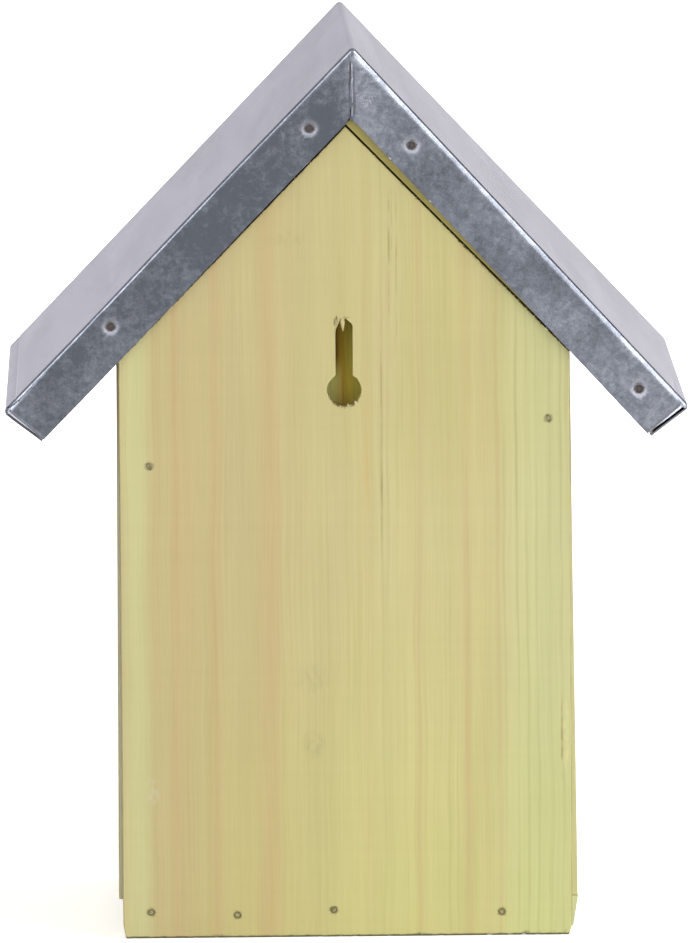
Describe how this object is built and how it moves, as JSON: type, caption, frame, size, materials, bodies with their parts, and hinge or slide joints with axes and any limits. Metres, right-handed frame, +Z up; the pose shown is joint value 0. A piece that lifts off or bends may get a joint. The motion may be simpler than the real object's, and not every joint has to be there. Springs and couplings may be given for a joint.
{
  "type": "ladybird house",
  "caption": "Small gabled wooden shelter box for garden insects, with a folded zinc-coated sheet roof, a keyhole slot in the back board for hanging and round entrance holes in front.",
  "frame": {"origin": "on the resting face, in the middle of the roof's plan, under the ridge", "axes": "+X to the right seen from the front, +Y towards the back board with the keyhole slot, +Z up"},
  "size_m": [0.1571, 0.118, 0.2061],
  "materials": {
    "wood_boards": "matte",
    "roof_metal": "satin",
    "brads": "matte"
  },
  "bodies": {
    "root": {"back_board": "wood_boards", "front_board": "wood_boards", "left_side_board": "wood_boards", "right_side_board": "wood_boards", "floor_board": "wood_boards", "left_roof_board": "wood_boards", "right_roof_board": "wood_boards", "roof_sheet": "roof_metal", "back_board_nails": "brads", "front_board_nails": "brads", "floor_board_nails": "brads", "ridge_nails": "brads", "right_roof_nails": "brads", "left_roof_nails": "brads", "back_sheet_nails": "brads", "front_sheet_nails": "brads"}
  },
  "joints": []
}
